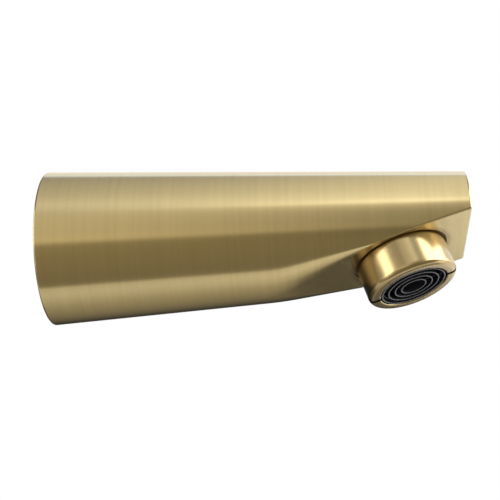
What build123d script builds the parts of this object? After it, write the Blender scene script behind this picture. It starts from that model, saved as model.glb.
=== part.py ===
from build123d import *
import os
from math import asin, cos, radians, sin, sqrt, tan

# Wall-mounted bath spout: a tapered brass casting with a slanted flat under its tip,
# into which an aerator is screwed. All sizes are in millimetres.
#
# Frame: the origin is the centre of the round base on the wall, +X runs out from the wall
# along the axis of the taper, and +Z is up as the spout is fitted.

# Cast body, outside
BASE_DIAMETER = 54.0  # against the wall
TIP_DIAMETER = 38.5  # at the free end
LENGTH = 145.0  # from the wall to the free end
BASE_ROUND = 0.6  # outer edge at the wall
TIP_ROUND = 0.8  # edge of the free end

# Slanted flat under the tip
FLAT_ANGLE = 17.2  # degrees, rising towards the tip
FLAT_DROP = 2.75  # flat below the axis at the free end
BLEND_LENGTH = 32.6  # over which the round underside turns into the flat

# Cast body, inside
WALL = 3.0
END_WALL = 4.0  # at the free end
FLOOR = 4.0  # above the slanted flat
PARTITION = 6.0  # between the pocket at the wall and the waterway
INLET_SETBACK = 16.0  # mouth of the inlet behind the wall plane
INLET_DIAMETER = 19.0  # bore of the inlet thread
INLET_LENGTH = 17.0
INLET_LEAD_IN = 1.0  # chamfer at the mouth
INLET_BOSS_WALL = 4.0
INLET_PORT_DIAMETER = 15.0

# Seat of the aerator in the flat
OUTLET_SETBACK = 24.4  # axis of the outlet, along the flat from the free end
COUNTERBORE_DEPTH = 0.9
COUNTERBORE_CLEARANCE = 0.6  # around the ring
OUTLET_BOSS_WALL = 2.5
OUTLET_SEAT = 2.0  # thickness of the shoulder that the washer seals against
OUTLET_PORT_DIAMETER = 18.4

# Aerator ring
THREAD_DIAMETER = 26.8
THREAD_LENGTH = 7.6
THREAD_CLEARANCE = 0.1  # on the radius
SHOULDER_WIDTH = 2.4  # from the thread out to the side of the ring
RING_STAND = 12.2  # height of the ring out of the flat
LIP_ROUND = 2.0
LIP_BEVEL = 0.3  # inner edge of the lip
NECK_WALL = 0.8
COIN_SLOT_WIDTH = 1.6
COIN_SLOT_DEPTH = 1.6
COIN_SLOT_TURN = 7.0  # degrees off the length of the spout

# Washer, and the cup of the cartridge
WASHER_THICKNESS = 2.0
WASHER_CLEARANCE = 0.2  # to the socket
FLANGE_THICKNESS = 1.5
FLANGE_OVERHANG = 0.9
FLANGE_CLEARANCE = 0.1  # to the ring
CUP_CLEARANCE = 0.3  # air gap between the cup and the ring
CUP_RECESS = 0.2  # rim of the cup behind the lip of the ring
CUP_RIM = 0.65  # wall of the cup at both ends
CUP_WALL = 1.4  # wall of the cup between its two ledges
CUP_TOP_DEPTH = 4.5  # upper ledge, below the top of the flange
CUP_FRONT_DEPTH = 5.0  # lower ledge, behind the rim
AIR_SLOTS = 8
AIR_SLOT_WIDTH = 1.6
AIR_SLOT_HEIGHT = 3.0
AIR_SLOT_GAP = 1.2  # below the upper ledge

# Pieces inside the cup
INSERT_CLEARANCE = 0.12  # to the cup
JET_PLATE_THICKNESS = 1.5
JET_DIAMETER = 1.1
JET_RINGS = 2
JET_MARGIN = 3.6  # outermost holes inside the edge
STRAINER_RIM = 1.0
STRAINER_WALL = 0.6
STRAINER_RISE = 3.2  # dome above the top of the cup
STRAINER_HOLE_DIAMETER = 1.5
STRAINER_RINGS = 3
STRAINER_MARGIN = 3.4
SCREEN_THICKNESS = 0.6
SCREEN_HOLE_DIAMETER = 1.6
SCREEN_RINGS = 3
SCREEN_MARGIN = 2.7
HOLE_STEP = 6  # holes that each ring has more than the ring inside it
GRILLE_RINGS = 3
GRILLE_WALL = 0.5  # of each ring and rib
GRILLE_EYE_DIAMETER = 8.7  # innermost ring
GRILLE_RIBS = 6
GRILLE_RIB_SETBACK = 1.3  # ribs behind the front of the rings

BASE_RADIUS = BASE_DIAMETER / 2
TAPER = (BASE_DIAMETER - TIP_DIAMETER) / 2 / LENGTH
FLAT_COS = cos(radians(FLAT_ANGLE))
FLAT_SIN = sin(radians(FLAT_ANGLE))
FLAT_RISE = tan(radians(FLAT_ANGLE))
CLEAR = BASE_DIAMETER  # how far a cutter runs past the body


def body_radius(x):
    """Outer radius of the taper at a distance from the wall."""
    return BASE_RADIUS - TAPER * x


def flat_level(x):
    """Height of the flat's plane at a distance from the wall."""
    return -FLAT_DROP - FLAT_RISE * (LENGTH - x)


# Where the flat's plane comes out of the lowest line of the taper, and where the blend ends
FLAT_START = (FLAT_DROP + FLAT_RISE * LENGTH - BASE_RADIUS) / (FLAT_RISE - TAPER)
BLEND_END = FLAT_START + BLEND_LENGTH

# The outlet's own plane lies on the flat: x along the flat to the tip, z out of the flat
OUTLET_X = LENGTH - OUTLET_SETBACK * FLAT_COS
OUTLET = Plane(
    origin=(OUTLET_X, 0, flat_level(OUTLET_X)),
    x_dir=(FLAT_COS, 0, FLAT_SIN),
    z_dir=(FLAT_SIN, 0, -FLAT_COS),
)

# Heights along the outlet's axis, from the seat in the body out to the lip
RING_FOOT = -COUNTERBORE_DEPTH
NECK_TOP = RING_FOOT - THREAD_LENGTH
SEAT = NECK_TOP - WASHER_THICKNESS
FLANGE_FOOT = NECK_TOP + FLANGE_THICKNESS
CUP_SEAT = NECK_TOP + CUP_TOP_DEPTH
JET_PLATE_TOP = CUP_SEAT - JET_PLATE_THICKNESS
CUP_FRONT = RING_STAND - CUP_RECESS
CUP_LEDGE = CUP_FRONT - CUP_FRONT_DEPTH
SCREEN_FRONT = CUP_LEDGE + SCREEN_THICKNESS

# Radii that fit into each other, from the socket inwards
THREAD_RADIUS = THREAD_DIAMETER / 2
SOCKET_RADIUS = THREAD_RADIUS + THREAD_CLEARANCE
RING_RADIUS = THREAD_RADIUS + SHOULDER_WIDTH
FLANGE_POCKET_RADIUS = THREAD_RADIUS - NECK_WALL
FLANGE_RADIUS = FLANGE_POCKET_RADIUS - FLANGE_CLEARANCE
CUP_RADIUS = FLANGE_RADIUS - FLANGE_OVERHANG
OPENING_RADIUS = CUP_RADIUS + CUP_CLEARANCE
CUP_BORE_RADIUS = CUP_RADIUS - CUP_RIM
INSERT_RADIUS = CUP_BORE_RADIUS - INSERT_CLEARANCE


def turned(*outline):
    """Solid turned about Z from the edges of a closed outline in (radius, height)."""
    return revolve(make_face(Plane.XZ * Curve(children=list(outline))), Axis.Z)


def hoop(outer, inner, low, high):
    """Plain ring about Z."""
    return turned(Polyline((inner, low), (outer, low), (outer, high), (inner, high), close=True))


def disc(radius, low, high):
    """Plain disc about Z."""
    return turned(Polyline((0, low), (radius, low), (radius, high), (0, high), close=True))


def holes(rings, margin, diameter):
    """Straight drills along Z on rings, evenly spaced out to a margin inside the edge of an insert."""
    drill = Cylinder(diameter / 2, CLEAR)
    pitch = (INSERT_RADIUS - margin) / rings
    places = []
    for ring in range(1, rings + 1):
        places += PolarLocations(ring * pitch, ring * HOLE_STEP)
    return [place * drill for place in places]


def frustum(x0, r0, x1, r1):
    """Round tapered solid along the axis of the spout."""
    outline = Polyline((x0, 0), (x0, r0), (x1, r1), (x1, 0), close=True)
    return revolve(make_face(Plane.XZ * outline), Axis.X)


def below(level, x0, x1):
    """Everything under a slanted line of heights, between two distances from the wall."""
    outline = Polyline((x0, level(x0)), (x1, level(x1)), (x1, -CLEAR), (x0, -CLEAR), close=True)
    return extrude(make_face(Plane.XZ * outline), CLEAR, both=True)


def blend(side):
    """One corner of the underside: the wedge to cut away, and the slanted cone that replaces it.

    The cone runs from the quarter of the round section that lies beside its lowest point to the
    place on the crease where the flat reaches its full width, and is tangent to taper and flat.
    """
    end_radius = body_radius(BLEND_END)
    crease_angle = asin(-flat_level(BLEND_END) / end_radius)
    start_radius = body_radius(FLAT_START)

    def on_start(angle):
        return Vector(FLAT_START, side * start_radius * cos(angle), -start_radius * sin(angle))

    high = on_start(crease_angle)
    middle = on_start((crease_angle + radians(90)) / 2)
    low = on_start(radians(90))
    outside = middle + (middle - (high + low) / 2) * 3
    apex = Vertex(BLEND_END, side * end_radius * cos(crease_angle), flat_level(BLEND_END))
    wedge_base = make_face(Polyline(high, low, outside, close=True))
    cone_base = make_face(Curve(children=[ThreePointArc(high, middle, low), Line(low, high)]))
    return loft([wedge_base, apex], ruled=True), loft([cone_base, apex], ruled=True)


def outer_form():
    """The taper with its slanted flat, blended, before anything is cored out of it."""
    form = frustum(0, BASE_RADIUS, LENGTH, TIP_DIAMETER / 2)
    form -= below(flat_level, FLAT_START - CLEAR, LENGTH + CLEAR)
    for side in (-1, 1):
        wedge, cone = blend(side)
        form = form - wedge + cone
    base_edge = form.edges().sort_by(Axis.X)[0]
    form = fillet(base_edge, BASE_ROUND)
    tip_edges = form.faces().sort_by(Axis.X)[-1].edges()
    return fillet(tip_edges, TIP_ROUND)


def waterway():
    """Cored space between the partition and the free end, around the boss of the outlet."""
    start = INLET_SETBACK + INLET_LEAD_IN + INLET_LENGTH + PARTITION
    end = LENGTH - END_WALL
    core = frustum(start, body_radius(start) - WALL, end, body_radius(end) - WALL)
    core -= below(lambda x: flat_level(x) + FLOOR / FLAT_COS, start - CLEAR, end + CLEAR)
    return core - OUTLET * disc(SOCKET_RADIUS + OUTLET_BOSS_WALL, SEAT - OUTLET_SEAT, 0)


def inlet():
    """Open pocket at the wall around the threaded boss, and the bore through to the waterway."""
    pocket_end = INLET_SETBACK + INLET_LEAD_IN + INLET_LENGTH
    bore = INLET_DIAMETER / 2
    boss = bore + INLET_BOSS_WALL
    pocket = frustum(0, BASE_RADIUS - WALL, pocket_end, body_radius(pocket_end) - WALL)
    pocket -= frustum(INLET_SETBACK, boss, pocket_end, boss)
    lead_in = frustum(INLET_SETBACK, bore + INLET_LEAD_IN, INLET_SETBACK + INLET_LEAD_IN, bore)
    thread = frustum(INLET_SETBACK + INLET_LEAD_IN, bore, pocket_end, bore)
    port = frustum(pocket_end, INLET_PORT_DIAMETER / 2, pocket_end + PARTITION, INLET_PORT_DIAMETER / 2)
    return pocket, lead_in, thread, port


def outlet():
    """Stepped hole in the flat: counterbore, threaded socket, and port behind the seat."""
    counterbore = disc(RING_RADIUS + COUNTERBORE_CLEARANCE, RING_FOOT, RING_STAND)
    socket = disc(SOCKET_RADIUS, SEAT, RING_STAND)
    port = disc(OUTLET_PORT_DIAMETER / 2, SEAT - OUTLET_SEAT, RING_STAND)
    return OUTLET * counterbore, OUTLET * socket, OUTLET * port


def spout_body():
    body = outer_form() - waterway()
    for cut in inlet():
        body -= cut
    for cut in outlet():
        body -= cut
    return body


def aerator_ring():
    """Turned housing: threaded neck, wide collar with a rounded lip, two slots for a coin."""
    inside = Polyline(
        (OPENING_RADIUS + LIP_BEVEL, RING_STAND),
        (OPENING_RADIUS, RING_STAND - LIP_BEVEL),
        (OPENING_RADIUS, FLANGE_FOOT),
        (FLANGE_POCKET_RADIUS, FLANGE_FOOT),
        (FLANGE_POCKET_RADIUS, NECK_TOP),
        (THREAD_RADIUS, NECK_TOP),
        (THREAD_RADIUS, RING_FOOT),
        (RING_RADIUS, RING_FOOT),
        (RING_RADIUS, RING_STAND - LIP_ROUND),
    )
    lip = CenterArc((RING_RADIUS - LIP_ROUND, RING_STAND - LIP_ROUND), LIP_ROUND, 0, 90)
    face = Line((RING_RADIUS - LIP_ROUND, RING_STAND), (OPENING_RADIUS + LIP_BEVEL, RING_STAND))
    coin_slot = Box(4 * RING_RADIUS, COIN_SLOT_WIDTH, 2 * COIN_SLOT_DEPTH)
    return turned(inside, lip, face) - Pos(0, 0, RING_STAND) * Rot(0, 0, COIN_SLOT_TURN) * coin_slot


def aerator_washer():
    """Flat rubber ring between the neck of the housing and the seat in the body."""
    return hoop(SOCKET_RADIUS - WASHER_CLEARANCE, OUTLET_PORT_DIAMETER / 2, SEAT, NECK_TOP)


def aerator_cup():
    """Moulded cartridge body: flange on top, a ledge at each end of its bore, air slots around it."""
    cup = turned(
        Polyline(
            (CUP_BORE_RADIUS, NECK_TOP),
            (FLANGE_RADIUS, NECK_TOP),
            (FLANGE_RADIUS, FLANGE_FOOT),
            (CUP_RADIUS, FLANGE_FOOT),
            (CUP_RADIUS, CUP_FRONT),
            (CUP_BORE_RADIUS, CUP_FRONT),
            (CUP_BORE_RADIUS, CUP_LEDGE),
            (CUP_RADIUS - CUP_WALL, CUP_LEDGE),
            (CUP_RADIUS - CUP_WALL, CUP_SEAT),
            (CUP_BORE_RADIUS, CUP_SEAT),
            close=True,
        )
    )
    slot = Box(4 * CUP_WALL, AIR_SLOT_WIDTH, AIR_SLOT_HEIGHT)
    height = CUP_SEAT + AIR_SLOT_GAP + AIR_SLOT_HEIGHT / 2
    return cup - [Pos(0, 0, height) * place * slot for place in PolarLocations(CUP_RADIUS, AIR_SLOTS)]


def aerator_strainer():
    """Perforated dome that stands up into the port, on a rim held between washer and jet plate."""
    foot = INSERT_RADIUS - STRAINER_RIM / 2
    rise = JET_PLATE_TOP - (NECK_TOP - STRAINER_RISE)
    radius = (foot**2 + rise**2) / (2 * rise)
    inner_radius = radius - STRAINER_WALL
    centre = JET_PLATE_TOP - rise + radius
    inner_foot = sqrt(inner_radius**2 - (centre - JET_PLATE_TOP) ** 2)
    top = centre - radius
    inner_top = centre - inner_radius
    dome = turned(
        RadiusArc((foot, JET_PLATE_TOP), (0, top), radius),
        Line((0, top), (0, inner_top)),
        RadiusArc((0, inner_top), (inner_foot, JET_PLATE_TOP), -inner_radius),
        Line((inner_foot, JET_PLATE_TOP), (foot, JET_PLATE_TOP)),
    )
    rim = hoop(INSERT_RADIUS, INSERT_RADIUS - STRAINER_RIM, NECK_TOP, JET_PLATE_TOP)
    return dome + rim - holes(STRAINER_RINGS, STRAINER_MARGIN, STRAINER_HOLE_DIAMETER)


def aerator_jet_plate():
    plate = disc(INSERT_RADIUS, JET_PLATE_TOP, CUP_SEAT)
    return plate - holes(JET_RINGS, JET_MARGIN, JET_DIAMETER)


def aerator_screen():
    screen = disc(INSERT_RADIUS, CUP_LEDGE, SCREEN_FRONT)
    return screen - holes(SCREEN_RINGS, SCREEN_MARGIN, SCREEN_HOLE_DIAMETER)


def aerator_grille():
    """Rings one inside another, level with the rim of the cup, on ribs that lie further back."""
    rib_front = CUP_FRONT - GRILLE_RIB_SETBACK
    eye = GRILLE_EYE_DIAMETER / 2
    rim = CUP_RADIUS - CUP_RIM / 2
    pitch = (rim - eye) / GRILLE_RINGS
    grille = hoop(INSERT_RADIUS, INSERT_RADIUS - GRILLE_WALL, SCREEN_FRONT, rib_front)
    span = INSERT_RADIUS - GRILLE_WALL / 2 - eye
    rib = Box(span, GRILLE_WALL, rib_front - SCREEN_FRONT)
    for place in PolarLocations(eye + span / 2, GRILLE_RIBS):
        grille += Pos(0, 0, (rib_front + SCREEN_FRONT) / 2) * place * rib
    for number in range(GRILLE_RINGS):
        middle = eye + number * pitch
        grille += hoop(middle + GRILLE_WALL / 2, middle - GRILLE_WALL / 2, SCREEN_FRONT, CUP_FRONT)
    return grille


pieces = {
    "spout_body": spout_body(),
    "aerator_ring": OUTLET * aerator_ring(),
    "aerator_washer": OUTLET * aerator_washer(),
    "aerator_cup": OUTLET * aerator_cup(),
    "aerator_strainer": OUTLET * aerator_strainer(),
    "aerator_jet_plate": OUTLET * aerator_jet_plate(),
    "aerator_screen": OUTLET * aerator_screen(),
    "aerator_grille": OUTLET * aerator_grille(),
}

os.makedirs("parts", exist_ok=True)
for name, piece in pieces.items():
    export_step(piece, f"parts/{name}.step")
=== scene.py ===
import math

import bmesh
import bpy
from mathutils import Matrix, Vector


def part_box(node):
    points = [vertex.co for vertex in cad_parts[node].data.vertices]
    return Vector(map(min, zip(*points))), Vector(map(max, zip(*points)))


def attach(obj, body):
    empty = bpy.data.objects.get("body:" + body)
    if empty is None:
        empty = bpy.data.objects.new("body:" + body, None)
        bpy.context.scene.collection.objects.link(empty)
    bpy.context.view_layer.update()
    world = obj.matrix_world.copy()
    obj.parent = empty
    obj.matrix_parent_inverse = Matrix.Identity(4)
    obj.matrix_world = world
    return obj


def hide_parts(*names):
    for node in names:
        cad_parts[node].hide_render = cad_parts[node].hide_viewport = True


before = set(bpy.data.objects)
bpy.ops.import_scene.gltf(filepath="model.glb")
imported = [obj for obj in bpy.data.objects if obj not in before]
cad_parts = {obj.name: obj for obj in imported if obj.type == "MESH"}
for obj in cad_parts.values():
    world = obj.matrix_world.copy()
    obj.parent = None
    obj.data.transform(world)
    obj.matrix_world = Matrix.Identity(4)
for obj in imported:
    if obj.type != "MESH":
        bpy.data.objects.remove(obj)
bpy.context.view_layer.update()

# Spout body: one brass casting, turned to a taper and milled to a slanted flat under the tip, with
# the flat blended into the round underside. It is brushed around its axis and lacquered, and it
# screws on to the supply pipe through a threaded boss inside the open pocket at the wall.
MM = 0.001
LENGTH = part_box("spout_body")[1].x
BASE_RADIUS = 27.0 * MM
TIP_RADIUS = 19.25 * MM
BASE_ROUND = 0.6 * MM
TIP_ROUND = 0.4 * MM
FLAT_ANGLE = math.radians(17.2)
FLAT_DROP = 2.75 * MM
BLEND_LENGTH = 32.6 * MM
BLEND_SOFTNESS = 2.0 * MM
CREASE_ROUND = 0.7 * MM
WALL = 3.0 * MM
END_WALL = 4.0 * MM
FLOOR_WALL = 4.0 * MM
CORE_ROUND = 0.3 * MM
CORE_SOFTNESS = 0.01 * MM
POCKET_DEPTH = 34.0 * MM
PARTITION = 6.0 * MM
BOSS_SETBACK = 16.0 * MM
BOSS_WALL = 4.0 * MM
BOSS_CHAMFER = 1.0 * MM
BORE_RADIUS = 9.5 * MM
PORT_RADIUS = 7.5 * MM
PIPE_THREAD_PITCH = 1.814 * MM
PIPE_THREAD_DEPTH = 0.9 * MM
MERGE_DISTANCE = 0.002 * MM
SHARP_ANGLE = math.radians(30.0)

TAPER = (BASE_RADIUS - TIP_RADIUS) / LENGTH
FLAT_RISE = math.tan(FLAT_ANGLE)
BLEND_START = (FLAT_DROP + FLAT_RISE * LENGTH - BASE_RADIUS) / (FLAT_RISE - TAPER)
BLEND_END = BLEND_START + BLEND_LENGTH
CREASE_SINE = (FLAT_DROP + FLAT_RISE * (LENGTH - BLEND_END)) / (BASE_RADIUS - TAPER * BLEND_END)


class Wire:
    """An output socket of a node tree that takes part in Python arithmetic."""

    def __init__(self, socket):
        self.socket = socket

    @classmethod
    def node(cls, tree, kind, settings=None, inputs=None, output=0):
        """Adds any node: its settings first, then the values or wires of its sockets."""
        node = tree.nodes.new(kind)
        for key, value in (settings or {}).items():
            if key == "stops":
                cls.set_stops(node.color_ramp, value)
            else:
                setattr(node, key, value)
        for key, value in (inputs or {}).items():
            if isinstance(value, Wire):
                tree.links.new(value.socket, node.inputs[key])
            else:
                node.inputs[key].default_value = value
        return cls(node.outputs[output])

    @staticmethod
    def set_stops(ramp, stops):
        """Gives a colour ramp its stops, each a place and a colour."""
        while len(ramp.elements) < len(stops):
            ramp.elements.new(1.0)
        for element, (place, colour) in zip(ramp.elements, stops):
            element.position = place
            element.color = (*colour, 1.0)

    def out(self, name):
        """Another output of the same node."""
        return Wire(self.socket.node.outputs[name])

    def maths(self, operation, *values, clamp=False):
        settings = {"operation": operation, "use_clamp": clamp}
        return Wire.node(self.socket.id_data, "ShaderNodeMath", settings, dict(enumerate(values)))

    def clamped(self):
        """This value, kept between 0 and 1."""
        return self.maths("ADD", self, 0.0, clamp=True)

    def at_least(self, other):
        return self.maths("MAXIMUM", self, other)

    def root(self):
        """Square root, with values under zero read as zero."""
        return self.maths("SQRT", self.at_least(0.0))

    def __add__(self, other):
        return self.maths("ADD", self, other)

    def __radd__(self, other):
        return self.maths("ADD", other, self)

    def __sub__(self, other):
        return self.maths("SUBTRACT", self, other)

    def __rsub__(self, other):
        return self.maths("SUBTRACT", other, self)

    def __mul__(self, other):
        return self.maths("MULTIPLY", self, other)

    def __rmul__(self, other):
        return self.maths("MULTIPLY", other, self)

    def __truediv__(self, other):
        return self.maths("DIVIDE", self, other)

    def __gt__(self, other):
        return self.maths("GREATER_THAN", self, other)

    def __lt__(self, other):
        return self.maths("LESS_THAN", self, other)


def shape_tree(name, sizes, counts):
    """A Geometry Nodes tree with named inputs: gives the tree and a wire for each input."""
    tree = bpy.data.node_groups.new(name, "GeometryNodeTree")
    for label in sizes:
        tree.interface.new_socket(label, in_out="INPUT", socket_type="NodeSocketFloat")
    for label in counts:
        tree.interface.new_socket(label, in_out="INPUT", socket_type="NodeSocketInt")
    tree.interface.new_socket("Finish", in_out="INPUT", socket_type="NodeSocketMaterial")
    tree.interface.new_socket("Shape", in_out="OUTPUT", socket_type="NodeSocketGeometry")
    source = tree.nodes.new("NodeGroupInput")
    return tree, {label: Wire(source.outputs[label]) for label in (*sizes, *counts, "Finish")}


def close_tree(tree, shape, finish):
    """Ends a tree: instances made real, and the finish set."""
    real = Wire.node(tree, "GeometryNodeRealizeInstances", inputs={"Geometry": shape})
    done = Wire.node(
        tree, "GeometryNodeSetMaterial", inputs={"Geometry": real, "Material": finish}
    )
    sink = tree.nodes.new("NodeGroupOutput")
    tree.links.new(done.socket, sink.inputs["Shape"])


def flat_grid(tree, rows, columns):
    """A square grid to be bent into a shape, and the place of each of its points, from -0.5 to 0.5."""
    grid = Wire.node(
        tree, "GeometryNodeMeshGrid",
        inputs={"Size X": 1.0, "Size Y": 1.0, "Vertices X": rows, "Vertices Y": columns},
    )
    here = Wire.node(tree, "GeometryNodeInputPosition")
    return grid, Wire.node(tree, "ShaderNodeSeparateXYZ", inputs={0: here})


def close_bent(tree, grid, spot, merge, finish):
    """Ends a tree that bends a grid: its points are moved to their spots, and those that meet merged."""
    moved = Wire.node(
        tree, "GeometryNodeSetPosition", inputs={"Geometry": grid, "Position": spot}
    )
    closed = Wire.node(
        tree, "GeometryNodeMergeByDistance", inputs={"Geometry": moved, "Distance": merge}
    )
    close_tree(tree, closed, finish)


def plain_mesh(piece):
    """Turns a piece with modifiers into one with a plain mesh."""
    bpy.context.view_layer.update()
    seen = piece.evaluated_get(bpy.context.evaluated_depsgraph_get())
    old = piece.data
    mesh = bpy.data.meshes.new_from_object(seen)
    piece.modifiers.clear()
    piece.data = mesh
    mesh.name = piece.name
    bpy.data.meshes.remove(old)
    return piece


def new_piece(name, mesh):
    """An object with this mesh, in the scene."""
    piece = bpy.data.objects.new(name, mesh)
    bpy.context.scene.collection.objects.link(piece)
    return piece


def grown(name, tree, values):
    """The result of a Geometry Nodes tree with these inputs, as a piece with a plain mesh."""
    piece = new_piece(name, bpy.data.meshes.new(name))
    modifier = piece.modifiers.new(tree.name, "NODES")
    modifier.node_group = tree
    for item in tree.interface.items_tree:
        if item.in_out == "INPUT":
            modifier[item.identifier] = values[item.name]
    return plain_mesh(piece)


def combined(piece, operation, *tools):
    """Cuts other solids from a piece, or joins them to it; the tools are used up."""
    for tool in tools:
        modifier = piece.modifiers.new("combine", "BOOLEAN")
        modifier.operation = operation
        modifier.solver = "EXACT"
        modifier.object = tool
        plain_mesh(piece)
        bpy.data.objects.remove(tool)


def outward(mesh):
    """Merges doubles and turns all faces outwards."""
    shape = bmesh.new()
    shape.from_mesh(mesh)
    bmesh.ops.remove_doubles(shape, verts=shape.verts, dist=MERGE_DISTANCE)
    bmesh.ops.dissolve_degenerate(shape, edges=shape.edges, dist=MERGE_DISTANCE)
    bmesh.ops.recalc_face_normals(shape, faces=shape.faces)
    shape.to_mesh(mesh)
    shape.free()


def smoothed(piece):
    """Smooth shading between the sharp edges, with large faces keeping their own direction."""
    outward(piece.data)
    piece.data.shade_smooth()
    piece.data.set_sharp_from_angle(angle=SHARP_ANGLE)
    modifier = piece.modifiers.new("even", "WEIGHTED_NORMAL")
    modifier.keep_sharp = True
    plain_mesh(piece)


def taper_tree():
    """A taper along X, round, with a slanted flat below that starts as a blend; both ends closed."""
    sizes = (
        "Start", "End", "Radius", "Taper", "Flat Level", "Flat Rise", "Softness",
        "Crease Sine", "Crease Round", "Start Round", "End Round",
    )
    tree, size = shape_tree("taper with a flat", sizes, ("Rows", "Columns"))
    rows = size["Rows"]
    grid, place = flat_grid(tree, rows, size["Columns"])
    row = (place.out("X") + 0.5) * (rows - 1)
    row = row.maths("ROUND", row)
    around = place.out("Y") * 2.0

    # Two rows at each end close it: a pole, and a loop just inside the edge
    cap_loop = 0.97
    from_end = row.maths("MINIMUM", row, rows - 1 - row)
    reach = (from_end > 0.5) * cap_loop + (from_end > 1.5) * (1.0 - cap_loop)
    run = ((row - 2) / (rows - 5)).clamped()
    eased = run * run * (3.0 - 2.0 * run)
    span = size["End"] - size["Start"]
    x = size["Start"] + span * eased

    # Rounded end edges draw the section in
    from_start = (size["Start Round"] - span * eased).at_least(0.0)
    from_tip = (size["End Round"] - span * (1.0 - eased)).at_least(0.0)
    inset = 0.0
    for edge, deep in ((size["Start Round"], from_start), (size["End Round"], from_tip)):
        inset = inset + edge - (edge * edge - deep * deep).root()

    # The section: a circle, a corner that is tangent to circle and flat, and the flat
    least_lift, least_corner = 0.001 * MM, 0.02 * MM
    radius = size["Radius"] - size["Taper"] * x
    flat = size["Flat Level"] - size["Flat Rise"] * (size["End"] - x)
    lift = radius.maths("SMOOTH_MAX", flat + radius, 0.0, size["Softness"]) + least_lift
    corner = (radius - lift / (1.0 - size["Crease Sine"])).at_least(size["Crease Round"])
    corner = (corner - inset).at_least(least_corner)
    circle = radius - inset
    bottom = lift - radius + inset
    centre_z = bottom + corner
    centre_y = ((circle - corner) * (circle - corner) - centre_z * centre_z).root()
    tangent = radius.maths("ARCTAN2", 0.0 - centre_z, centre_y)

    # Going around from the top, the points are shared out over circle, corner and flat
    circle_share, corner_share = 0.62, 0.16
    quarter = math.pi / 2
    way = around.maths("ABSOLUTE", around)
    along_circle = (way / circle_share).clamped()
    along_corner = ((way - circle_share) / corner_share).clamped()
    along_flat = ((way - circle_share - corner_share) / (1.0 - circle_share - corner_share)).clamped()
    angle = (tangent + quarter) * along_circle + (quarter - tangent) * along_corner - quarter
    past_circle = way > circle_share
    bend = circle + (corner - circle) * past_circle
    half_width = (centre_y * past_circle + bend * angle.maths("COSINE", angle)) * (1.0 - along_flat)
    y = half_width * around.maths("SIGN", around)
    z = centre_z * past_circle - bend * angle.maths("SINE", angle)
    spot = Wire.node(tree, "ShaderNodeCombineXYZ", inputs={"X": x, "Y": y * reach, "Z": z * reach})
    close_bent(tree, grid, spot, 2 * MERGE_DISTANCE, size["Finish"])
    return tree


def thread_tree():
    """A closed bar along Z with a V thread around it, which fades out at both ends."""
    sizes = ("Start", "End", "Radius", "Pitch", "Depth")
    tree, size = shape_tree("threaded bar", sizes, ("Rows", "Columns"))
    rows = size["Rows"]
    grid, place = flat_grid(tree, rows, size["Columns"])
    turn = place.out("Y") + 0.5
    row = (place.out("X") + 0.5) * (rows - 1)
    from_end = row.maths("MINIMUM", row, rows - 1 - row)
    run = ((row - 1) / (rows - 3)).clamped()
    length = size["End"] - size["Start"]
    height = size["Start"] + length * run
    turns = height / size["Pitch"] + turn
    ridge = turns.maths("PINGPONG", turns, 0.5) * 2.0
    fade_rows = 6.0
    fade = ((from_end - 1.0) / fade_rows).clamped()
    radius = (size["Radius"] + size["Depth"] * ridge * fade) * (from_end > 0.5)
    angle = turn * (2.0 * math.pi)
    spot = Wire.node(
        tree, "ShaderNodeCombineXYZ",
        inputs={
            "X": radius * angle.maths("COSINE", angle),
            "Y": radius * angle.maths("SINE", angle),
            "Z": height,
        },
    )
    close_bent(tree, grid, spot, MERGE_DISTANCE, size["Finish"])
    return tree


def turned(name, outline, place, columns=192):
    """A closed solid turned about Z from an outline of (radius, height), then put in its place.

    An outline that starts and ends on the axis is closed there; any other is closed on itself.
    """
    shape = bmesh.new()
    loops = []
    for radius, height in outline:
        if radius == 0:
            loops.append([shape.verts.new((0, 0, height))] * columns)
            continue
        turns = [Matrix.Rotation(2 * math.pi * k / columns, 3, "Z") for k in range(columns)]
        loops.append([shape.verts.new(turn @ Vector((radius, 0, height))) for turn in turns])
    if outline[0][0] > 0:
        loops.append(loops[0])
    for low, high in zip(loops, loops[1:]):
        for k in range(columns):
            corners = (low[k], low[k - 1], high[k - 1], high[k])
            shape.faces.new(list(dict.fromkeys(corners)))
    bmesh.ops.transform(shape, matrix=place, verts=shape.verts)
    bmesh.ops.recalc_face_normals(shape, faces=shape.faces)
    mesh = bpy.data.meshes.new(name)
    shape.to_mesh(mesh)
    shape.free()
    return new_piece(name, mesh)


def arc(centre, radius, start, end, steps):
    """Points of an arc in an outline, with its angles in degrees."""
    angles = [math.radians(start + (end - start) * k / steps) for k in range(steps + 1)]
    return [(centre[0] + radius * math.cos(a), centre[1] + radius * math.sin(a)) for a in angles]


def new_finish(name, metallic):
    """A new material, with its node tree, its shader and the place of a point on the piece."""
    material = bpy.data.materials.new(name)
    material.use_nodes = True
    tree = material.node_tree
    shader = tree.nodes["Principled BSDF"]
    shader.inputs["Metallic"].default_value = metallic
    return material, tree, shader, Wire.node(tree, "ShaderNodeTexCoord", output="Object")


def noise(tree, place, scale, detail):
    """A cloudy value around a half."""
    return Wire.node(
        tree, "ShaderNodeTexNoise", inputs={"Vector": place, "Scale": scale, "Detail": detail}
    )


def blend(tree, factor, first, second):
    """The first colour where the factor is 0, and the second where it is 1."""
    return Wire.node(
        tree, "ShaderNodeMix", {"data_type": "RGBA"},
        {"Factor": factor, "A": first, "B": second}, output="Result",
    )


def about_outlet(tree, here):
    """Where a point is about the outlet: how far out of the flat, along it and across it."""
    place = Wire.node(tree, "ShaderNodeSeparateXYZ", inputs={0: here})
    centre, out = OUTLET.translation, OUTLET.col[2]
    from_x, from_z = place.out("X") - centre.x, place.out("Z") - centre.z
    return from_x * out.x + from_z * out.z, from_z * out.x - from_x * out.z, place.out("Y")


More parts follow.
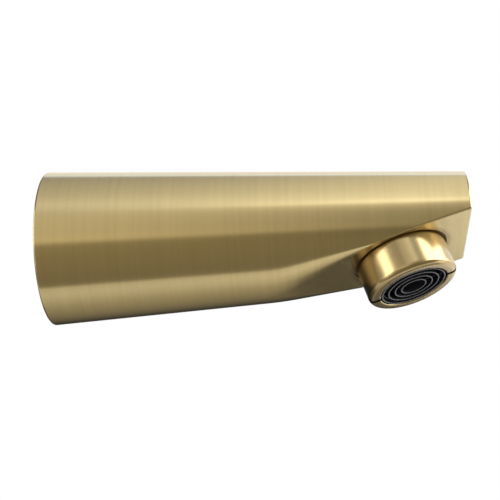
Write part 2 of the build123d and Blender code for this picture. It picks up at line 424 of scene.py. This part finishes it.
def brushed_brass():
    """Brass brushed around the axis: fine streaks across X, with painted shade in the groove round the
    ring and on the flat next to it.
    """
    material, tree, shader, here = new_finish("brushed brass", metallic=1.0)

    def streaks(lengthwise, crosswise, detail):
        """Noise drawn out across X, or along it, by how many streaks a metre holds each way."""
        scaled = Wire.node(
            tree, "ShaderNodeMapping",
            inputs={"Vector": here, "Scale": (lengthwise, crosswise, crosswise)},
        )
        return noise(tree, scaled, 1.0, detail)

    fine = streaks(lengthwise=4200.0, crosswise=45.0, detail=2.0)
    broad = streaks(lengthwise=700.0, crosswise=22.0, detail=3.0)
    milled = streaks(lengthwise=60.0, crosswise=6000.0, detail=1.0)
    cloud = noise(tree, here, 45.0, 3.0)
    contrast = 1.2
    tone = (broad * 0.6 + fine * 0.4 - 0.5) * contrast + 0.5
    colour = blend(tree, tone.clamped(), BRASS_DARK, BRASS_LIGHT)
    stand, along, across = about_outlet(tree, here)
    from_axis = (along * along + across * across).root()
    # Painted shade: the gap between the flat and the seated ring is painted dark, as it lies in shade
    sunk = (stand < -GROOVE_SKIN) * (stand > -COUNTERBORE_DEPTH - SEAT_THICKNESS)
    shaded_groove = sunk * (from_axis < COUNTERBORE_RADIUS + COUNTERBORE_EDGE)
    on_flat = (stand > -GROOVE_SKIN) * (stand < GROOVE_SKIN)
    # Painted shade: the flat is darkened in a band around the ring, where the ring shades it
    ring_shade = on_flat * (1.0 - (from_axis - COUNTERBORE_RADIUS) / RING_SHADE_REACH).clamped()
    darkened = blend(tree, shaded_groove + RING_SHADE_STRENGTH * ring_shade, colour, BRASS_PAINTED_SHADE)
    tree.links.new(darkened.socket, shader.inputs["Base Color"])
    dull = 0.12 + 0.06 * fine + 0.04 * cloud + 0.4 * shaded_groove + 0.03 * on_flat
    tree.links.new(dull.socket, shader.inputs["Roughness"])
    round_depth = 0.28
    around = (fine * 0.7 + broad * 0.3) * round_depth
    relief = Wire.node(
        tree, "ShaderNodeBump",
        inputs={"Distance": STREAK_DEPTH, "Height": around + (milled - around) * on_flat},
        output="Normal",
    )
    tree.links.new(relief.socket, shader.inputs["Normal"])
    return material


BODY_ROWS, BODY_COLUMNS = 200, 361
CORE_ROWS, CORE_COLUMNS = 60, 181
THREAD_ROWS, THREAD_COLUMNS = 150, 161
ALONG_X = Matrix(((0, 0, 1, 0), (1, 0, 0, 0), (0, 1, 0, 0), (0, 0, 0, 1)))
OUTLET_SETBACK = 24.4 * MM
OUTLET_X = LENGTH - OUTLET_SETBACK * math.cos(FLAT_ANGLE)
OUTLET = Matrix.Translation((OUTLET_X, 0, -FLAT_DROP - FLAT_RISE * (LENGTH - OUTLET_X))) @ Matrix(
    (
        (math.cos(FLAT_ANGLE), 0, math.sin(FLAT_ANGLE), 0),
        (0, -1, 0, 0),
        (math.sin(FLAT_ANGLE), 0, -math.cos(FLAT_ANGLE), 0),
        (0, 0, 0, 1),
    )
)
COUNTERBORE_RADIUS = 16.4 * MM
COUNTERBORE_DEPTH = 0.9 * MM
COUNTERBORE_EDGE = 0.35 * MM
GROOVE_SKIN = 0.08 * MM
# Painted shade on the flat around the ring: how far it reaches and how dark it is
RING_SHADE_REACH = 2.6 * MM
RING_SHADE_STRENGTH = 0.8
STREAK_DEPTH = 0.02 * MM
BRASS_DARK = (0.655, 0.509, 0.243, 1)
BRASS_LIGHT = (0.775, 0.616, 0.303, 1)
# Colour of the painted shade in the groove and on the flat next to the ring
BRASS_PAINTED_SHADE = (0.32, 0.22, 0.10, 1)
SOCKET_RADIUS = 13.5 * MM
SEAT_DEPTH = 10.5 * MM
SEAT_THICKNESS = 2.0 * MM
OUTLET_BOSS_WALL = 2.5 * MM
OUTLET_PORT_RADIUS = 9.2 * MM
CLEAR = 20.0 * MM

brass = brushed_brass()
taper = taper_tree()
thread = thread_tree()
body_sizes = {
    "Start": 0.0, "End": LENGTH, "Radius": BASE_RADIUS, "Taper": TAPER,
    "Flat Level": -FLAT_DROP, "Flat Rise": FLAT_RISE, "Softness": BLEND_SOFTNESS,
    "Crease Sine": CREASE_SINE, "Crease Round": CREASE_ROUND,
    "Start Round": BASE_ROUND, "End Round": TIP_ROUND,
    "Rows": BODY_ROWS, "Columns": BODY_COLUMNS, "Finish": brass,
}
body = grown("spout_body_cast", taper, body_sizes)
outward(body.data)

core_start = POCKET_DEPTH + PARTITION
core_end = LENGTH - END_WALL
core_level = -FLAT_DROP - FLAT_RISE * END_WALL + FLOOR_WALL / math.cos(FLAT_ANGLE)
core_sizes = body_sizes | {
    "Start": core_start, "End": core_end, "Radius": BASE_RADIUS - WALL, "Flat Level": core_level,
    "Softness": CORE_SOFTNESS, "Crease Sine": 0.0, "Crease Round": CORE_ROUND,
    "Start Round": CORE_ROUND, "End Round": CORE_ROUND, "Rows": CORE_ROWS, "Columns": CORE_COLUMNS,
}
core = grown("waterway", taper, core_sizes)
outward(core.data)
boss_radius = SOCKET_RADIUS + OUTLET_BOSS_WALL
boss_top = -SEAT_DEPTH - SEAT_THICKNESS
boss = turned(
    "outlet_boss", [(0, boss_top), (boss_radius, boss_top), (boss_radius, CLEAR), (0, CLEAR)], OUTLET
)
combined(core, "DIFFERENCE", boss)

pocket_end_radius = BASE_RADIUS - WALL - TAPER * POCKET_DEPTH
boss_outer = BORE_RADIUS + BOSS_WALL
pocket = turned(
    "pocket",
    [
        (0, -CLEAR),
        (BASE_RADIUS - WALL + TAPER * CLEAR, -CLEAR),
        (pocket_end_radius, POCKET_DEPTH),
        (boss_outer, POCKET_DEPTH),
        (boss_outer, BOSS_SETBACK + BOSS_CHAMFER / 2),
        (boss_outer - BOSS_CHAMFER / 2, BOSS_SETBACK),
        (BORE_RADIUS + BOSS_CHAMFER, BOSS_SETBACK),
        (BORE_RADIUS, BOSS_SETBACK + BOSS_CHAMFER),
        (PORT_RADIUS, BOSS_SETBACK + BOSS_CHAMFER),
        (PORT_RADIUS, core_start + WALL),
        (0, core_start + WALL),
    ],
    ALONG_X,
)
pipe_thread = grown(
    "pipe_thread", thread,
    {
        "Start": BOSS_SETBACK, "End": POCKET_DEPTH, "Radius": BORE_RADIUS,
        "Pitch": PIPE_THREAD_PITCH, "Depth": PIPE_THREAD_DEPTH,
        "Rows": THREAD_ROWS, "Columns": THREAD_COLUMNS, "Finish": brass,
    },
)
pipe_thread.data.transform(ALONG_X)
outward(pipe_thread.data)
outlet = turned(
    "outlet",
    [
        (0, boss_top - WALL),
        (OUTLET_PORT_RADIUS, boss_top - WALL),
        (OUTLET_PORT_RADIUS, -SEAT_DEPTH),
        (SOCKET_RADIUS, -SEAT_DEPTH),
        (SOCKET_RADIUS, -COUNTERBORE_DEPTH),
        (COUNTERBORE_RADIUS, -COUNTERBORE_DEPTH),
        (COUNTERBORE_RADIUS, -COUNTERBORE_EDGE),
        (COUNTERBORE_RADIUS + 2 * COUNTERBORE_EDGE, COUNTERBORE_EDGE),
        (0, COUNTERBORE_EDGE),
    ],
    OUTLET,
)
# The waterway comes last: a cut that lies wholly inside the body can get lost
combined(body, "DIFFERENCE", pocket, pipe_thread, outlet, core)
smoothed(body)
body.data.materials.clear()
body.data.materials.append(brass)
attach(body, "root")
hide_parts("spout_body")

# Aerator ring: the housing of the aerator, turned from brass bar and polished. Its threaded neck
# screws into the flat until the collar seats in the counterbore, and two slots in the lip take a coin.
THREAD_RADIUS = 13.4 * MM
THREAD_LENGTH = 7.6 * MM
NECK_WALL = 0.8 * MM
FLANGE_THICKNESS = 1.5 * MM
RING_RADIUS = 15.8 * MM
RING_STAND = 12.2 * MM
LIP_ROUND = 2.0 * MM
LIP_BEVEL = 0.3 * MM
FOOT_ROUND = 0.25 * MM
OPENING_RADIUS = 11.9 * MM
COIN_SLOT_WIDTH = 1.6 * MM
COIN_SLOT_DEPTH = 1.6 * MM
COIN_SLOT_TURN = math.radians(7.0)
NECK_TOP = -COUNTERBORE_DEPTH - THREAD_LENGTH
FLANGE_FOOT = NECK_TOP + FLANGE_THICKNESS
POCKET_RADIUS = THREAD_RADIUS - NECK_WALL
RING_DARK = (0.58, 0.432, 0.194, 1)
RING_LIGHT = (0.63, 0.478, 0.222, 1)
# Colour of the painted shade inside the coin slots
RING_SLOT_SHADE = (0.040, 0.026, 0.012, 1)
RING_COLUMNS = 256


def polished_brass():
    """Turned brass, polished to a soft sheen under a thin lacquer, with painted shade in the coin slots.
    """
    material, tree, shader, here = new_finish("polished brass", metallic=1.0)
    cloud = noise(tree, here, 120.0, 3.0)
    colour = blend(tree, cloud, RING_DARK, RING_LIGHT)
    stand, along, across = about_outlet(tree, here)
    off_slot = across * math.cos(COIN_SLOT_TURN) + along * math.sin(COIN_SLOT_TURN)
    in_slot = off_slot.maths("ABSOLUTE", off_slot) < COIN_SLOT_WIDTH / 2 + GROOVE_SKIN / 2
    in_slot = in_slot * (stand > RING_STAND - COIN_SLOT_DEPTH - GROOVE_SKIN)
    # Painted shade: the coin slots are painted dark, as they lie in shade
    milled = blend(tree, in_slot, colour, RING_SLOT_SHADE)
    tree.links.new(milled.socket, shader.inputs["Base Color"])
    tree.links.new((0.22 + 0.06 * cloud + 0.3 * in_slot).socket, shader.inputs["Roughness"])
    shader.inputs["Coat Weight"].default_value = 0.6
    shader.inputs["Coat Roughness"].default_value = 0.2
    return material


ring = turned(
    "aerator_ring_turned",
    [
        (OPENING_RADIUS, RING_STAND - LIP_BEVEL),
        (OPENING_RADIUS, FLANGE_FOOT),
        (POCKET_RADIUS, FLANGE_FOOT),
        (POCKET_RADIUS, NECK_TOP),
        (THREAD_RADIUS, NECK_TOP),
        (THREAD_RADIUS, -COUNTERBORE_DEPTH),
        *arc((RING_RADIUS - FOOT_ROUND, FOOT_ROUND - COUNTERBORE_DEPTH), FOOT_ROUND, -90, 0, 4),
        (RING_RADIUS, 2 * FOOT_ROUND),
        (RING_RADIUS, RING_STAND - LIP_ROUND - FOOT_ROUND),
        *arc((RING_RADIUS - LIP_ROUND, RING_STAND - LIP_ROUND), LIP_ROUND, 0, 90, 14),
        (OPENING_RADIUS + LIP_BEVEL + FOOT_ROUND, RING_STAND),
        *arc((OPENING_RADIUS + LIP_BEVEL, RING_STAND - LIP_BEVEL), LIP_BEVEL, 90, 180, 5)[:-1],
    ],
    OUTLET,
    columns=RING_COLUMNS,
)
slot_shape = bmesh.new()
bmesh.ops.create_cube(
    slot_shape, size=1.0,
    matrix=OUTLET @ Matrix.Rotation(COIN_SLOT_TURN, 4, "Z") @ Matrix.Translation((0, 0, RING_STAND))
    @ Matrix.Diagonal((4 * RING_RADIUS, COIN_SLOT_WIDTH, 2 * COIN_SLOT_DEPTH, 1)),
)
slot_mesh = bpy.data.meshes.new("coin_slots")
slot_shape.to_mesh(slot_mesh)
slot_shape.free()
coin_slots = new_piece("coin_slots", slot_mesh)
combined(ring, "DIFFERENCE", coin_slots)
smoothed(ring)
ring.data.materials.append(polished_brass())
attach(ring, "root")
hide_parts("aerator_ring")

# Cartridge cup: the black moulded body of the aerator's insert. Its flange hangs on the shoulder
# inside the ring, its rim is the outermost circle at the outlet, and slots in its side let air in.
CUP_RADIUS = 11.6 * MM
CUP_RIM = 0.65 * MM
CUP_WALL = 1.4 * MM
CUP_SETBACK = 0.2 * MM
CUP_FRONT_DEPTH = 5.0 * MM
CUP_TOP_DEPTH = 4.5 * MM
FLANGE_PLAY = 0.1 * MM
RIM_STEP = 0.2 * MM
RIM_STEP_DEPTH = 0.6 * MM
RIM_ROUND = 0.1 * MM
# Depth and colour of the painted highlight on the front edges of the black plastic
EDGE_HIGHLIGHT_DEPTH = 0.12 * MM
AIR_SLOTS = 8
AIR_SLOT_WIDTH = 1.6 * MM
AIR_SLOT_HEIGHT = 3.0 * MM
AIR_SLOT_GAP = 1.2 * MM
PLASTIC_BLACK = (0.012, 0.012, 0.014, 1)
PLASTIC_EDGE_HIGHLIGHT = (0.150, 0.146, 0.140, 1)
CUP_FRONT = RING_STAND - CUP_SETBACK
FLANGE_RADIUS = POCKET_RADIUS - FLANGE_PLAY
CUP_BORE = CUP_RADIUS - CUP_RIM
CUP_LEDGE = CUP_FRONT - CUP_FRONT_DEPTH
CUP_SEAT = NECK_TOP + CUP_TOP_DEPTH


def spokes_tree():
    """Equal bars set around Z like spokes."""
    sizes = ("Middle Radius", "Level", "Length", "Width", "Height")
    tree, size = shape_tree("spokes", sizes, ("Count",))
    bulk = Wire.node(
        tree, "ShaderNodeCombineXYZ",
        inputs={"X": size["Length"], "Y": size["Width"], "Z": size["Height"]},
    )
    bar = Wire.node(tree, "GeometryNodeMeshCube", inputs={"Size": bulk})
    spot = Wire.node(
        tree, "ShaderNodeCombineXYZ", inputs={"X": size["Middle Radius"], "Z": size["Level"]}
    )
    set_out = Wire.node(
        tree, "GeometryNodeTransform", inputs={"Geometry": bar, "Translation": spot}
    )
    hubs = Wire.node(
        tree, "GeometryNodeMeshLine", inputs={"Count": size["Count"], "Offset": (0.0, 0.0, 0.0)}
    )
    number = Wire.node(tree, "GeometryNodeInputIndex")
    turn = Wire.node(
        tree, "ShaderNodeCombineXYZ", inputs={"Z": number * (2.0 * math.pi) / size["Count"]}
    )
    bars = Wire.node(
        tree, "GeometryNodeInstanceOnPoints",
        inputs={"Points": hubs, "Instance": set_out, "Rotation": turn},
    )
    close_tree(tree, bars, size["Finish"])
    return tree


def black_plastic():
    """Moulded black plastic with a satin skin, and a painted highlight: paler on the front edges of rim
    and rings.
    """
    material, tree, shader, here = new_finish("black plastic", metallic=0.0)
    grain = noise(tree, here, 1500.0, 2.0)
    stand = about_outlet(tree, here)[0]
    # Painted highlight: the front edges are painted paler, where they catch the light
    edge_highlight = ((stand - (CUP_FRONT - EDGE_HIGHLIGHT_DEPTH)) / EDGE_HIGHLIGHT_DEPTH).clamped()
    colour = blend(tree, edge_highlight * (0.7 + 0.6 * grain), PLASTIC_BLACK, PLASTIC_EDGE_HIGHLIGHT)
    tree.links.new(colour.socket, shader.inputs["Base Color"])
    tree.links.new((0.30 + 0.12 * grain).socket, shader.inputs["Roughness"])
    return material


spokes = spokes_tree()
plastic = black_plastic()
cup = turned(
    "aerator_cup_moulded",
    [
        (CUP_BORE, NECK_TOP),
        (FLANGE_RADIUS, NECK_TOP),
        (FLANGE_RADIUS, FLANGE_FOOT),
        (CUP_RADIUS, FLANGE_FOOT),
        (CUP_RADIUS, CUP_FRONT - RIM_STEP_DEPTH),
        (CUP_RADIUS - RIM_STEP, CUP_FRONT - RIM_STEP_DEPTH),
        *arc((CUP_RADIUS - RIM_STEP - RIM_ROUND, CUP_FRONT - RIM_ROUND), RIM_ROUND, 0, 90, 4),
        *arc((CUP_BORE + RIM_ROUND, CUP_FRONT - RIM_ROUND), RIM_ROUND, 90, 180, 4),
        (CUP_BORE, CUP_FRONT - 2 * RIM_ROUND),
        (CUP_BORE, CUP_LEDGE),
        (CUP_RADIUS - CUP_WALL, CUP_LEDGE),
        (CUP_RADIUS - CUP_WALL, CUP_SEAT),
        (CUP_BORE, CUP_SEAT),
    ],
    OUTLET,
)
air_slots = grown(
    "air_slots", spokes,
    {
        "Middle Radius": CUP_RADIUS, "Level": CUP_SEAT + AIR_SLOT_GAP + AIR_SLOT_HEIGHT / 2,
        "Length": 4 * CUP_WALL, "Width": AIR_SLOT_WIDTH, "Height": AIR_SLOT_HEIGHT,
        "Count": AIR_SLOTS, "Finish": plastic,
    },
)
air_slots.data.transform(OUTLET)
outward(air_slots.data)
combined(cup, "DIFFERENCE", air_slots)
smoothed(cup)
cup.data.materials.clear()
cup.data.materials.append(plastic)
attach(cup, "root")
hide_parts("aerator_cup")

# Outlet grille: moulded black rings, one inside another, on thin ribs that lie further back.
# It is pressed into the cup against the mixing screen, and steadies the stream.
GRILLE_RINGS = 3
GRILLE_WALL = 0.5 * MM
GRILLE_EYE = 4.35 * MM
GRILLE_RIBS = 6
GRILLE_RIB_SETBACK = 1.3 * MM
GRILLE_EDGE_ROUND = 0.2 * MM
GRILLE_COLUMNS = 160
INSERT_PLAY = 0.12 * MM
SCREEN_THICKNESS = 0.6 * MM
INSERT_RADIUS = CUP_BORE - INSERT_PLAY
SCREEN_FRONT = CUP_LEDGE + SCREEN_THICKNESS
GRILLE_PITCH = (CUP_RADIUS - CUP_RIM / 2 - GRILLE_EYE) / GRILLE_RINGS
RIB_FRONT = CUP_FRONT - GRILLE_RIB_SETBACK


def hoops_tree():
    """Rings about Z, one inside another, each with a wall of the same rounded section."""
    sizes = ("Inner Radius", "Pitch", "Wall", "Back", "Front", "Edge Round")
    tree, size = shape_tree("hoops", sizes, ("Count", "Columns"))
    hubs = Wire.node(
        tree, "GeometryNodeMeshLine", inputs={"Count": size["Count"], "Offset": (0.0, 0.0, 0.0)}
    )
    round_line = Wire.node(
        tree, "GeometryNodeCurvePrimitiveCircle", inputs={"Resolution": size["Columns"], "Radius": 1.0}
    )
    number = Wire.node(tree, "GeometryNodeInputIndex")
    radius = size["Inner Radius"] + number * size["Pitch"]
    wide = Wire.node(tree, "ShaderNodeCombineXYZ", inputs={"X": radius, "Y": radius, "Z": 1.0})
    lines = Wire.node(
        tree, "GeometryNodeInstanceOnPoints",
        inputs={"Points": hubs, "Instance": round_line, "Scale": wide},
    )
    loops = Wire.node(tree, "GeometryNodeRealizeInstances", inputs={"Geometry": lines})
    depth = size["Front"] - size["Back"]
    block = Wire.node(
        tree, "GeometryNodeCurvePrimitiveQuadrilateral",
        inputs={"Width": size["Wall"], "Height": depth},
    )
    section = Wire.node(
        tree, "GeometryNodeFilletCurve", {"mode": "POLY"},
        {"Curve": block, "Count": 4, "Radius": size["Edge Round"]},
    )
    walls = Wire.node(
        tree, "GeometryNodeCurveToMesh", inputs={"Curve": loops, "Profile Curve": section}
    )
    middle = Wire.node(
        tree, "ShaderNodeCombineXYZ", inputs={"Z": (size["Front"] + size["Back"]) / 2.0}
    )
    placed = Wire.node(
        tree, "GeometryNodeTransform", inputs={"Geometry": walls, "Translation": middle}
    )
    close_tree(tree, placed, size["Finish"])
    return tree


hoops = hoops_tree()
hoop_sizes = {
    "Inner Radius": GRILLE_EYE, "Pitch": GRILLE_PITCH, "Wall": GRILLE_WALL, "Back": SCREEN_FRONT,
    "Front": CUP_FRONT, "Edge Round": GRILLE_EDGE_ROUND, "Count": GRILLE_RINGS,
    "Columns": GRILLE_COLUMNS, "Finish": plastic,
}
grille = grown("aerator_grille_moulded", hoops, hoop_sizes)
outer_hoop = grown(
    "outer_hoop", hoops,
    hoop_sizes | {"Inner Radius": INSERT_RADIUS - GRILLE_WALL / 2, "Front": RIB_FRONT, "Count": 1},
)
rib_length = INSERT_RADIUS - GRILLE_WALL / 2 - GRILLE_EYE
ribs = grown(
    "grille_ribs", spokes,
    {
        "Middle Radius": GRILLE_EYE + rib_length / 2, "Level": (RIB_FRONT + SCREEN_FRONT) / 2,
        "Length": rib_length, "Width": GRILLE_WALL, "Height": RIB_FRONT - SCREEN_FRONT,
        "Count": GRILLE_RIBS, "Finish": plastic,
    },
)
for part in (grille, outer_hoop, ribs):
    outward(part.data)
combined(grille, "UNION", ribs, outer_hoop)
grille.data.transform(OUTLET)
smoothed(grille)
grille.data.materials.clear()
grille.data.materials.append(plastic)
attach(grille, "root")
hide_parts("aerator_grille")

# Inner pieces of the cartridge: a rubber washer that seals the ring, a grey moulded strainer dome,
# a black jet plate and a steel mixing screen. They lie stacked in the cup, out of sight.


def inner_finish(name, dark, light, roughness, metallic, scale):
    """A plain finish with a fine grain between two greys."""
    material, tree, shader, here = new_finish(name, metallic)
    grain = noise(tree, here, scale, 2.0)
    colour = blend(tree, grain, (dark, dark, dark, 1), (light, light, light, 1))
    tree.links.new(colour.socket, shader.inputs["Base Color"])
    tree.links.new((roughness + 0.15 * (grain - 0.5)).socket, shader.inputs["Roughness"])
    return material


inner_finishes = {
    "aerator_washer": inner_finish(
        "seal rubber", dark=0.02, light=0.04, roughness=0.75, metallic=0.0, scale=900.0
    ),
    "aerator_strainer": inner_finish(
        "grey plastic", dark=0.56, light=0.66, roughness=0.45, metallic=0.0, scale=1200.0
    ),
    "aerator_jet_plate": plastic,
    # Painted shade: the screen's steel is painted much darker than steel, as it lies in shade deep in the
    # cup
    "aerator_screen": inner_finish(
        "steel with painted shade", dark=0.05, light=0.10, roughness=0.55, metallic=1.0, scale=2500.0
    ),
}
for node, finish in inner_finishes.items():
    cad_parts[node].data.materials.clear()
    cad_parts[node].data.materials.append(finish)

# Floor: a plain white sheet of paper well below the spout, which hangs on a wall in use. From above
# it is as pale as the room behind, less the shade that falls on it, and from below it is clear.
FLOOR_LEVEL = -0.26
FLOOR_HALF = 4.0
PAPER_GLOW = 0.65
floor_mesh = bpy.data.meshes.new("floor")
floor_mesh.from_pydata(
    [(-FLOOR_HALF, -FLOOR_HALF, FLOOR_LEVEL), (FLOOR_HALF, -FLOOR_HALF, FLOOR_LEVEL),
     (FLOOR_HALF, FLOOR_HALF, FLOOR_LEVEL), (-FLOOR_HALF, FLOOR_HALF, FLOOR_LEVEL)],
    [], [(0, 1, 2, 3)],
)
floor = new_piece("floor", floor_mesh)
paper = bpy.data.materials.new("white paper")
paper.use_nodes = True
tree = paper.node_tree
sheet = tree.nodes["Principled BSDF"]
sheet.inputs["Base Color"].default_value = (0.9, 0.9, 0.9, 1)
sheet.inputs["Roughness"].default_value = 0.8
seen = Wire.node(tree, "ShaderNodeLightPath", output="Is Camera Ray")
glow = Wire.node(tree, "ShaderNodeEmission", inputs={"Color": (1, 1, 1, 1), "Strength": 1.0})
mixed = Wire.node(
    tree, "ShaderNodeMixShader",
    inputs={0: seen * PAPER_GLOW, 1: Wire(sheet.outputs["BSDF"]), 2: glow},
)
beneath = Wire.node(tree, "ShaderNodeNewGeometry", output="Backfacing")
clear = Wire.node(tree, "ShaderNodeBsdfTransparent")
one_sided = Wire.node(
    tree, "ShaderNodeMixShader", inputs={0: seen * beneath, 1: mixed, 2: clear}
)
tree.links.new(one_sided.socket, tree.nodes["Material Output"].inputs["Surface"])
floor_mesh.materials.append(paper)
floor.visible_glossy = False

# Studio light: a white room with a light strip over the camera, a lit backdrop, a table below, a shaded
# side around the camera and black flags at both ends. The metal mirrors them, the camera sees white,
# and soft boxes and a card light the aerator from both sides.
ROOM = (  # angle up from the camera's side and over the top, level on the left and the right, warmth
    (-180, 0.05, 0.05, 0.5),  # dark under the backdrop
    (-150, 0.26, 0.21, 0.5),  # far side of the table
    (-124, 0.43, 0.42, 0.4),
    (-100, 0.67, 0.80, 0.0),  # table
    (-87, 0.66, 0.80, 0.1),  # edge of the table
    (-85, 0.22, 0.24, 0.9),  # shade under the camera
    (-40, 0.28, 0.23, 1.0),
    (-22, 0.32, 0.18, 1.0),  # end of the shade
    (-16, 0.74, 0.33, 0.75),  # front wall
    (-4, 0.66, 0.32, 0.6),
    (12, 0.67, 0.39, 0.4),
    (20, 0.68, 0.56, 0.3),
    (27, 0.70, 0.91, 0.1),  # wall under the strip
    (31, 0.74, 1.95, -0.2),  # light strip
    (40, 0.86, 1.28, -0.3),  # ceiling
    (58, 0.67, 1.10, -0.2),
    (108, 0.42, 0.84, -0.4),  # end of the ceiling
    (112, 0.99, 1.20, -2.1),  # backdrop
    (155, 1.14, 1.14, -1.9),
    (161, 0.07, 0.05, 0.0),  # foot of the backdrop
    (180, 0.05, 0.05, 0.5),
)
LEFT_EDGE, RIGHT_EDGE, SIDE_POWER = -0.14, 0.19, 1.5
BACKDROP = (118, 155)
FLAG_EDGE, FLAG_FULL, FLAG_SHADE = 0.21, 0.26, 0.76
FLAG_GAP = (-125, 20)
WARM_GREEN, WARM_BLUE = 0.09, 0.30


def lit(level, warmth):
    """The colour of a part of the room, from cool to warm."""
    return (level, level * (1.0 - WARM_GREEN * warmth), level * (1.0 - WARM_BLUE * warmth))


def share(angle):
    """An angle in degrees, from -180 to 180, as a share of the full turn."""
    return angle / 360 + 0.5


world = bpy.data.worlds.new("studio")
bpy.context.scene.world = world
world.use_nodes = True
tree = world.node_tree
background = tree.nodes["Background"]
view = Wire.node(tree, "ShaderNodeTexCoord", output="Generated")
way = Wire.node(tree, "ShaderNodeSeparateXYZ", inputs={0: view})
turn = way.maths("ARCTAN2", way.out("Z"), 0.0 - way.out("Y")) / (2.0 * math.pi) + 0.5
sides = [
    Wire.node(
        tree, "ShaderNodeValToRGB",
        {"stops": [(share(stop[0]), lit(stop[side], stop[3])) for stop in ROOM]}, {"Fac": turn},
    )
    for side in (1, 2)
]
rightness = ((way.out("X") - LEFT_EDGE) / (RIGHT_EDGE - LEFT_EDGE)).clamped()
room = blend(tree, rightness.maths("POWER", rightness, SIDE_POWER), sides[0], sides[1])
sideways = way.maths("ABSOLUTE", way.out("X"))
flag = ((sideways - FLAG_EDGE) / (FLAG_FULL - FLAG_EDGE)).clamped()
flag = flag * ((turn < share(FLAG_GAP[0])) + (turn > share(FLAG_GAP[1])))
room = blend(tree, flag * FLAG_SHADE, room, (0, 0, 0, 1))
rays = Wire.node(tree, "ShaderNodeLightPath", output="Is Camera Ray")
backdrop = (turn > share(BACKDROP[0])) * (turn < share(BACKDROP[1]))
white = rays + rays.out("Is Transmission Ray") + rays.out("Is Glossy Ray") * backdrop
sky = blend(tree, white.clamped(), room, (1, 1, 1, 1))
tree.links.new(sky.socket, background.inputs["Color"])


def softbox(name, azimuth, elevation, distance, width, height, level):
    """A soft box that faces the spout; its level is the brightness that the metal mirrors."""
    a, e = math.radians(azimuth), math.radians(elevation)
    to_box = Vector((math.sin(a) * math.cos(e), -math.cos(a) * math.cos(e), math.sin(e)))
    light = bpy.data.lights.new(name, "AREA")
    light.shape = "RECTANGLE"
    light.size = width
    light.size_y = height
    light.energy = level * math.pi * width * height
    lamp = bpy.data.objects.new(name, light)
    bpy.context.scene.collection.objects.link(lamp)
    lamp.location = AIM + to_box * distance
    lamp.rotation_euler = to_box.to_track_quat("Z", "Y").to_euler()


AIM = Vector((LENGTH * 0.8, 0, 0))
softbox("left box", azimuth=-55.5, elevation=9, distance=1.2, width=0.49, height=1.0, level=2.3)
softbox("left card", azimuth=-52, elevation=-31, distance=1.2, width=0.46, height=0.55, level=0.8)
softbox("right box", azimuth=71.2, elevation=24.5, distance=1.2, width=1.30, height=1.06, level=3.4)
softbox("right wall", azimuth=124.7, elevation=-7, distance=1.25, width=1.772, height=1.12, level=0.98)

# Camera: a long lens at the photograph's place, below the spout and in front of its free end,
# tilted up so that the flat and the outlet are seen from below.
AZIMUTH = math.radians(4.63)
ELEVATION = math.radians(-26.473)
ROLL = math.radians(-0.892)
PLACE = Vector((99.027, -358.834, -183.755)) * MM
FOCAL_PIXELS = 1157.42
FRAME_PIXELS = 500
SENSOR = 36.0
camera_data = bpy.data.cameras.new("camera")
camera_data.sensor_width = SENSOR
camera_data.lens = SENSOR * FOCAL_PIXELS / FRAME_PIXELS
camera = bpy.data.objects.new("camera", camera_data)
bpy.context.scene.collection.objects.link(camera)
bpy.context.scene.camera = camera
turned_to = Matrix.Rotation(AZIMUTH, 4, "Z") @ Matrix.Rotation(math.pi / 2 - ELEVATION, 4, "X")
camera.matrix_world = Matrix.Translation(PLACE) @ turned_to @ Matrix.Rotation(ROLL, 4, "Z")
camera_data.clip_start = 0.01
camera_data.clip_end = 50.0
bpy.context.scene.view_settings.view_transform = "Standard"
